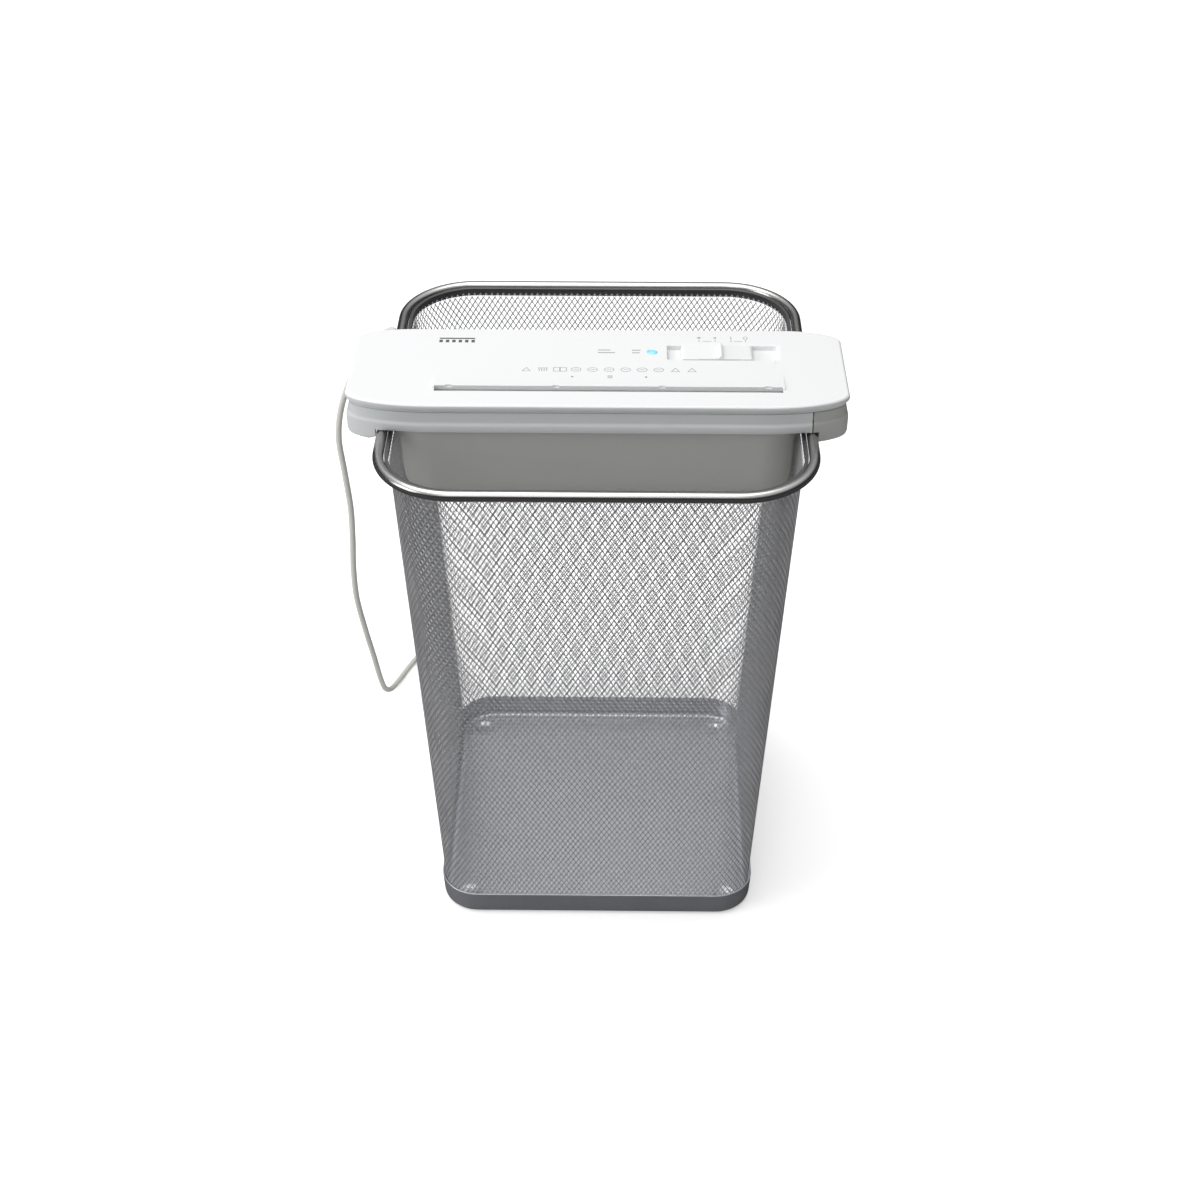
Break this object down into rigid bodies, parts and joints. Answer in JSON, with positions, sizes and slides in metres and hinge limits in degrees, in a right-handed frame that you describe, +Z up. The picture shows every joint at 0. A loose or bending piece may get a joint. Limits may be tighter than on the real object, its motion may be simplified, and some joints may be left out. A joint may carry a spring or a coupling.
{
  "type": "paper shredder",
  "caption": "Strip-cut paper shredder head with a pull-out end and slide switch, resting across the rim of a square tapered wire-mesh waste basket.",
  "frame": {"origin": "bottom centre of the basket and head together, on the surface it stands on", "axes": "+Z up, X along the head's width, front (paper slot side) towards -Y"},
  "size_m": [0.3473, 0.4341, 0.406],
  "materials": {
    "white_plastic": "white moulded plastic, soft satin",
    "grey_plastic": "light grey moulded plastic, satin",
    "wire_mesh": "silver coated wire mesh",
    "rim_steel": "satin steel tube",
    "pan_paint": "silver-grey coated sheet steel",
    "zinc_steel": "zinc-plated steel",
    "cutter_steel": "oiled hardened steel",
    "brass": "sintered brass",
    "nylon": "natural nylon",
    "dark_plastic": "black moulded plastic",
    "board_green": "green circuit board",
    "capacitor_blue": "blue sleeve",
    "lamp_blue": "clear blue lens",
    "cord_pvc": "light grey soft PVC",
    "pin_metal": "nickel-plated brass"
  },
  "bodies": {
    "bin": {"base_pan": "pan_paint", "mesh_wall": "wire_mesh", "rim_tube": "rim_steel", "rim_band": "rim_steel", "cord_lead": "cord_pvc", "cord_coil": "cord_pvc", "cord_tail": "cord_pvc", "plug_body": "cord_pvc", "plug_pin_a": "pin_metal", "plug_pin_b": "pin_metal"},
    "arm": {"extension_arm": "grey_plastic", "arm_rod_front": "zinc_steel", "arm_rod_rear": "zinc_steel"},
    "switch": {"switch_knob": "white_plastic"},
    "front_cutter": {"cutter_front": "cutter_steel", "gear_front": "cutter_steel"},
    "rear_cutter": {"cutter_rear": "cutter_steel", "gear_rear": "cutter_steel", "gear_drive": "cutter_steel"},
    "idler": {"idler_pinion": "cutter_steel", "idler_wheel": "nylon"},
    "rotor": {"motor_shaft": "zinc_steel", "motor_pinion": "brass"},
    "lever": {"paper_lever": "dark_plastic"},
    "head": {"bush_left_front": "brass", "bush_left_rear": "brass", "bush_right_front": "brass", "bush_right_rear": "brass", "capacitor": "capacitor_blue", "circuit_board": "board_green", "gear_plate": "zinc_steel", "guide_front": "white_plastic", "guide_rear": "white_plastic", "housing_screw_1": "zinc_steel", "housing_screw_2": "zinc_steel", "housing_screw_3": "zinc_steel", "housing_screw_4": "zinc_steel", "idler_axle": "zinc_steel", "lamp_lens": "lamp_blue", "lever_axle": "zinc_steel", "lower_housing": "grey_plastic", "motor_can": "zinc_steel", "motor_end_cap": "dark_plastic", "motor_screw_front": "zinc_steel", "motor_screw_rear": "zinc_steel", "relay": "dark_plastic", "sensor_switch": "dark_plastic", "side_plate_left": "zinc_steel", "side_plate_right": "zinc_steel", "strain_relief": "cord_pvc", "stripper_front": "nylon", "stripper_rear": "nylon", "switch_body": "dark_plastic", "terminal_block": "nylon", "tie_rod_lower_rear": "zinc_steel", "tie_rod_upper_front": "zinc_steel", "tie_rod_upper_rear": "zinc_steel", "top_cover": "white_plastic"}
  },
  "joints": [
    {"name": "head_lift", "type": "slide", "parent": "bin", "child": "head", "axis": [0, 0, 1], "range_m": [0, 0.12]},
    {"name": "arm_pull", "type": "slide", "parent": "head", "child": "arm", "axis": [1, 0, 0], "range_m": [0, 0.07]},
    {"name": "switch_slide", "type": "slide", "parent": "head", "child": "switch", "axis": [1, 0, 0], "range_m": [-0.008, 0.016]},
    {"name": "rear_cutter_spin", "type": "hinge", "parent": "head", "child": "rear_cutter", "pos_m": [0, -0.028, 0.357], "axis": [1, 0, 0], "continuous": true},
    {"name": "front_cutter_spin", "type": "hinge", "parent": "head", "child": "front_cutter", "pos_m": [0, -0.048, 0.357], "axis": [1, 0, 0], "continuous": true},
    {"name": "idler_spin", "type": "hinge", "parent": "head", "child": "idler", "pos_m": [0, -0.01061, 0.36921], "axis": [1, 0, 0], "continuous": true},
    {"name": "motor_spin", "type": "hinge", "parent": "head", "child": "rotor", "pos_m": [0, 0.005, 0.353], "axis": [1, 0, 0], "continuous": true},
    {"name": "lever_tilt", "type": "hinge", "parent": "head", "child": "lever", "pos_m": [0.007, -0.031, 0.388], "axis": [1, 0, 0], "range_deg": [0, 38], "stiffness_Nm_per_rad": 0.0004, "springref_deg": -17.19}
  ],
  "couplings": [
    {"joint": "front_cutter_spin", "follows": "rear_cutter_spin", "ratio": -1},
    {"joint": "idler_spin", "follows": "rear_cutter_spin", "ratio": -3.25},
    {"joint": "motor_spin", "follows": "rear_cutter_spin", "ratio": 11.375}
  ]
}
